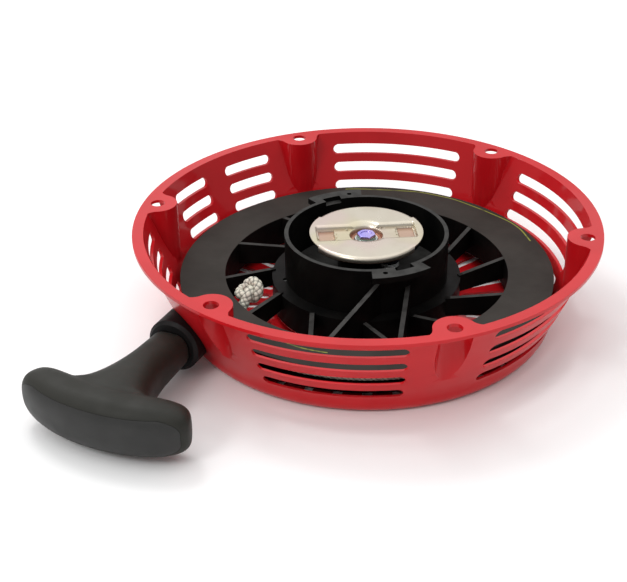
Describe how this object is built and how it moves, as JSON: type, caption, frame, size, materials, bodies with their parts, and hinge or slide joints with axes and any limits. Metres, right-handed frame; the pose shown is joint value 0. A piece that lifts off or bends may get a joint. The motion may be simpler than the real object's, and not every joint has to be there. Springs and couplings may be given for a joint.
{
  "type": "recoil starter for a small gasoline engine",
  "caption": "Recoil pull starter for a small air-cooled engine: slotted red bowl, rope reel with fan blades, pawls, guide plate, rope and T-grip.",
  "frame": {"origin": "centre of the bolt circle on the mounting flange's engine-side face", "axes": "+Z towards the engine along the reel's axis, +X through one of the six mounting holes, the rope outlet at about 220 degrees and the pull at about 256 degrees from +X"},
  "size_m": [0.2452, 0.2627, 0.05],
  "materials": {
    "red_paint": "gloss",
    "black_nylon": "matte",
    "grip_plastic": "matte",
    "collar_rubber": "matte",
    "yellow_zinc": "satin",
    "blue_zinc": "satin",
    "bright_steel": "satin",
    "dark_steel": "satin",
    "oilite_bronze": "satin",
    "rope_fibre": "matte"
  },
  "bodies": {
    "root": {"housing": "red_paint", "center_post": "bright_steel", "rope_ferrule": "bright_steel", "outlet_collar": "collar_rubber", "thrust_washer": "bright_steel", "friction_spring": "bright_steel", "bolt_washer": "bright_steel", "center_bolt": "blue_zinc", "rope_lead": "rope_fibre"},
    "reel": {"reel": "black_nylon", "reel_bushing": "oilite_bronze", "spring_cover": "bright_steel", "cover_screws": "dark_steel", "spring_stud": "bright_steel", "recoil_spring": "dark_steel", "pawl_pins": "bright_steel", "pawl_spring_a": "bright_steel", "pawl_spring_b": "bright_steel", "rope_coil": "rope_fibre", "anchor_knot": "rope_fibre"},
    "guide": {"guide_plate": "yellow_zinc"},
    "pawl_left": {"pawl_a": "dark_steel"},
    "pawl_right": {"pawl_b": "dark_steel"},
    "grip": {"grip_body": "grip_plastic", "grip_cap": "grip_plastic", "grip_ferrule": "bright_steel", "grip_knot": "rope_fibre"}
  },
  "joints": [
    {"name": "reel_spin", "type": "hinge", "parent": "root", "child": "reel", "pos_m": [0, 0, -0.03], "axis": [0, 0, 1], "range_deg": [0, 900], "stiffness_Nm_per_rad": 0.05, "springref_deg": -687.55, "deforming": ["recoil_spring"]},
    {"name": "grip_pull", "type": "slide", "parent": "root", "child": "grip", "axis": [-0.2419, -0.9703, 0], "range_m": [0, 1.24], "deforming": ["rope_lead"]},
    {"name": "guide_turn", "type": "hinge", "parent": "reel", "child": "guide", "pos_m": [0, 0, -0.011], "axis": [0, 0, 1], "range_deg": [-25, 0], "stiffness_Nm_per_rad": 0.02, "springref_deg": 5.73},
    {"name": "pawl_a_swing", "type": "hinge", "parent": "reel", "child": "pawl_left", "pos_m": [0.01367, -0.0132, -0.0118], "axis": [0, 0, 1], "range_deg": [-31, 0.5]},
    {"name": "pawl_b_swing", "type": "hinge", "parent": "reel", "child": "pawl_right", "pos_m": [-0.01367, 0.0132, -0.0118], "axis": [0, 0, 1], "range_deg": [-31, 0.5]}
  ],
  "couplings": [
    {"joint": "grip_pull", "follows": "reel_spin", "m_per_rad": 0.078},
    {"joint": "pawl_a_swing", "follows": "guide_turn", "ratio": 1.2},
    {"joint": "pawl_b_swing", "follows": "guide_turn", "ratio": 1.2}
  ]
}
